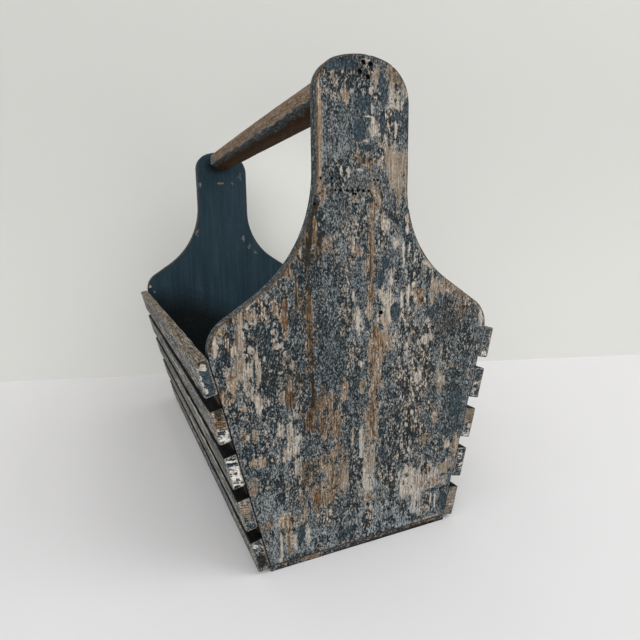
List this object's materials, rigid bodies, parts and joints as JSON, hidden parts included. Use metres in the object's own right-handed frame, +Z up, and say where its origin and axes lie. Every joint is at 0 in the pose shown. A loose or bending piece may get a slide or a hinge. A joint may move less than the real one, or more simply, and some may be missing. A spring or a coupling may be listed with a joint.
{
  "type": "slatted wooden tool caddy",
  "caption": "Open wooden tool caddy with shaped end boards, slatted leaning sides, a thin bottom board and a fixed chamfered handle rail.",
  "frame": {"origin": "on the ground under the middle of the caddy", "axes": "+X along the length, towards the near end board of the picture; +Y across, towards the right side as seen from that end; +Z up"},
  "size_m": [0.42, 0.2388, 0.3501],
  "materials": {
    "chipped_blue_paint": "chipped and worn dark blue paint over bare greyed wood",
    "weathered_slat_paint": "weathered grey-tan wood with the last of a blue paint",
    "bare_bottom_wood": "bare aged wood",
    "worn_handle_wood": "hand-worn pinkish wood with blue paint left on its lower chamfers",
    "dark_nail_iron": "dark oxidised iron"
  },
  "bodies": {
    "root": {"end_board_near": "chipped_blue_paint", "end_board_far": "chipped_blue_paint", "side_slat_left_1": "weathered_slat_paint", "side_slat_left_2": "weathered_slat_paint", "side_slat_left_3": "weathered_slat_paint", "side_slat_left_4": "weathered_slat_paint", "side_slat_left_5": "weathered_slat_paint", "side_slat_right_1": "weathered_slat_paint", "side_slat_right_2": "weathered_slat_paint", "side_slat_right_3": "weathered_slat_paint", "side_slat_right_4": "weathered_slat_paint", "side_slat_right_5": "weathered_slat_paint", "bottom_board": "bare_bottom_wood", "handle_rail": "worn_handle_wood", "slat_brad_left_near_1": "dark_nail_iron", "slat_brad_left_near_2": "dark_nail_iron", "slat_brad_left_near_3": "dark_nail_iron", "slat_brad_left_near_4": "dark_nail_iron", "slat_brad_left_near_5": "dark_nail_iron", "slat_brad_left_far_1": "dark_nail_iron", "slat_brad_left_far_2": "dark_nail_iron", "slat_brad_left_far_3": "dark_nail_iron", "slat_brad_left_far_4": "dark_nail_iron", "slat_brad_left_far_5": "dark_nail_iron", "slat_brad_right_near_1": "dark_nail_iron", "slat_brad_right_near_2": "dark_nail_iron", "slat_brad_right_near_3": "dark_nail_iron", "slat_brad_right_near_4": "dark_nail_iron", "slat_brad_right_near_5": "dark_nail_iron", "slat_brad_right_far_1": "dark_nail_iron", "slat_brad_right_far_2": "dark_nail_iron", "slat_brad_right_far_3": "dark_nail_iron", "slat_brad_right_far_4": "dark_nail_iron", "slat_brad_right_far_5": "dark_nail_iron", "bottom_brad_near_1": "dark_nail_iron", "bottom_brad_near_2": "dark_nail_iron", "bottom_brad_near_3": "dark_nail_iron", "bottom_brad_far_1": "dark_nail_iron", "bottom_brad_far_2": "dark_nail_iron", "bottom_brad_far_3": "dark_nail_iron", "handle_nail_near_1": "dark_nail_iron", "handle_nail_near_2": "dark_nail_iron", "handle_nail_near_3": "dark_nail_iron", "handle_nail_near_4": "dark_nail_iron", "handle_nail_far_1": "dark_nail_iron", "handle_nail_far_2": "dark_nail_iron", "handle_nail_far_3": "dark_nail_iron", "handle_nail_far_4": "dark_nail_iron"}
  },
  "joints": []
}
